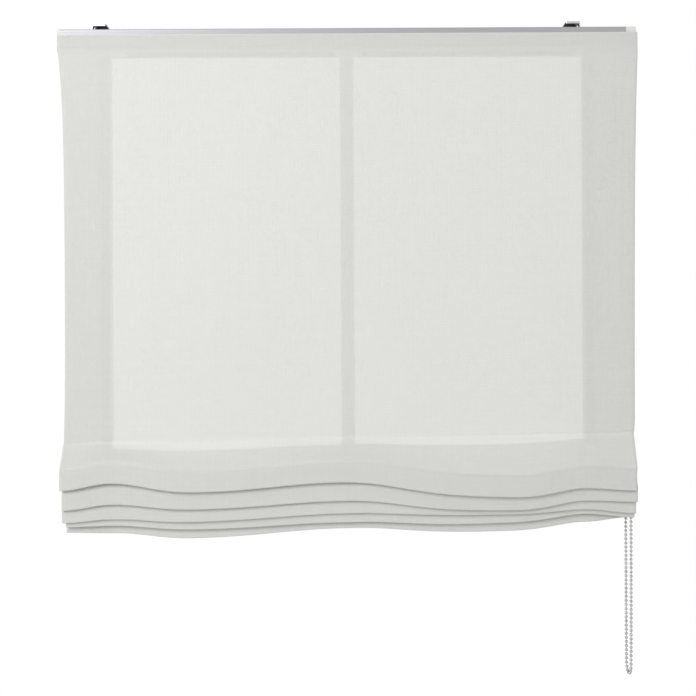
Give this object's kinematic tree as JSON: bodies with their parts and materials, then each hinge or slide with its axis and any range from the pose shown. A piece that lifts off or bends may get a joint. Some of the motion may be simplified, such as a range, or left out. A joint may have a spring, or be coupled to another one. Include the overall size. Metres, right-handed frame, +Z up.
{
  "type": "roman blind",
  "caption": "Chain-operated roman blind of sheer linen-look cloth, partly raised into a soft stack of folds, hung from ceiling clips.",
  "frame": {"origin": "centre of the four ceiling screw holes, on the top faces of the two clip plates", "axes": "+X to the right along the headrail, as seen from the room; +Y away from the room towards the window; +Z up"},
  "size_m": [0.83, 0.0609, 0.9422],
  "materials": {
    "rail_aluminium": "satin anodised",
    "white_plastic": "fine moulded texture",
    "white_nylon": "smooth moulded",
    "clip_steel": "zinc plated",
    "latch_black": "moulded black",
    "spring_steel": "drawn",
    "shaft_steel": "drawn and galvanised",
    "fastening_tape": "woven hook and loop",
    "sheer_cloth": "open linen-look weave with slubs",
    "woven_tape": "narrow woven tape",
    "lift_cord": "braided",
    "clear_plastic": "translucent moulded",
    "bar_enamel": "white enamel",
    "bead_chain_steel": "polished stainless steel"
  },
  "bodies": {
    "rail": {"headrail": "rail_aluminium", "end_cap_left": "white_plastic", "clutch_housing": "white_plastic", "clutch_cover": "white_plastic", "clutch_post": "spring_steel", "clip_plate_left": "clip_steel", "clip_plate_right": "clip_steel", "clip_rivet_left": "clip_steel", "clip_rivet_right": "clip_steel", "hook_tape": "fastening_tape", "loop_tape": "fastening_tape", "cloth_panel": "sheer_cloth", "bead_chain": "bead_chain_steel", "chain_connector": "bead_chain_steel", "drum_cradle_left": "white_nylon", "drum_cradle_centre": "white_nylon", "drum_cradle_right": "white_nylon", "lift_tape_left": "woven_tape", "lift_tape_centre": "woven_tape", "lift_tape_right": "woven_tape", "lift_cord_left": "lift_cord", "lift_cord_centre": "lift_cord", "lift_cord_right": "lift_cord"},
    "drive": {"drive_shaft": "shaft_steel", "chain_wheel": "white_nylon", "shaft_hub": "white_nylon", "clutch_spring": "spring_steel", "cord_drum_left": "white_nylon", "cord_drum_centre": "white_nylon", "cord_drum_right": "white_nylon", "wound_cord_left": "lift_cord", "wound_cord_centre": "lift_cord", "wound_cord_right": "lift_cord"},
    "stack": {"cloth_folds": "sheer_cloth", "weight_bar": "bar_enamel", "tape_folds_left": "woven_tape", "tape_folds_centre": "woven_tape", "tape_folds_right": "woven_tape", "cord_lock_left": "clear_plastic", "cord_lock_centre": "clear_plastic", "cord_lock_right": "clear_plastic", "ring_row_5": "clear_plastic", "ring_row_6": "clear_plastic", "ring_row_7": "clear_plastic", "ring_row_8": "clear_plastic"},
    "latch_left": {"clip_latch_left": "latch_black"},
    "latch_right": {"clip_latch_right": "latch_black"},
    "hanging_rings_1": {"ring_row_1": "clear_plastic"},
    "hanging_rings_2": {"ring_row_2": "clear_plastic"},
    "hanging_rings_3": {"ring_row_3": "clear_plastic"},
    "hanging_rings_4": {"ring_row_4": "clear_plastic"}
  },
  "joints": [
    {"name": "lift", "type": "slide", "parent": "rail", "child": "stack", "axis": [0, 0, 1], "range_m": [-0.5, 0.45], "deforming": ["cloth_panel", "lift_tape_left", "lift_tape_centre", "lift_tape_right", "lift_cord_left", "lift_cord_centre", "lift_cord_right"]},
    {"name": "drive_turn", "type": "hinge", "parent": "rail", "child": "drive", "pos_m": [0.015, 0, -0.027], "axis": [1, 0, 0], "continuous": true},
    {"name": "latch_left_turn", "type": "hinge", "parent": "rail", "child": "latch_left", "pos_m": [-0.34, 0, 0], "axis": [0, 0, -1], "range_deg": [0, 90]},
    {"name": "latch_right_turn", "type": "hinge", "parent": "rail", "child": "latch_right", "pos_m": [0.34, 0, 0], "axis": [0, 0, 1], "range_deg": [0, 90]},
    {"name": "ring_slide_1", "type": "slide", "parent": "rail", "child": "hanging_rings_1", "axis": [0, 0, 1], "range_m": [-0.0714, 0.0643]},
    {"name": "ring_slide_2", "type": "slide", "parent": "rail", "child": "hanging_rings_2", "axis": [0, 0, 1], "range_m": [-0.2088, 0.1879]},
    {"name": "ring_slide_3", "type": "slide", "parent": "rail", "child": "hanging_rings_3", "axis": [0, 0, 1], "range_m": [-0.3462, 0.3115]},
    {"name": "ring_slide_4", "type": "slide", "parent": "rail", "child": "hanging_rings_4", "axis": [0, 0, 1], "range_m": [-0.4835, 0.4351]}
  ],
  "couplings": [
    {"joint": "drive_turn", "follows": "lift", "rad_per_m": -129.03},
    {"joint": "ring_slide_1", "follows": "lift", "ratio": 0.1429},
    {"joint": "ring_slide_2", "follows": "lift", "ratio": 0.4176},
    {"joint": "ring_slide_3", "follows": "lift", "ratio": 0.6923},
    {"joint": "ring_slide_4", "follows": "lift", "ratio": 0.967}
  ]
}
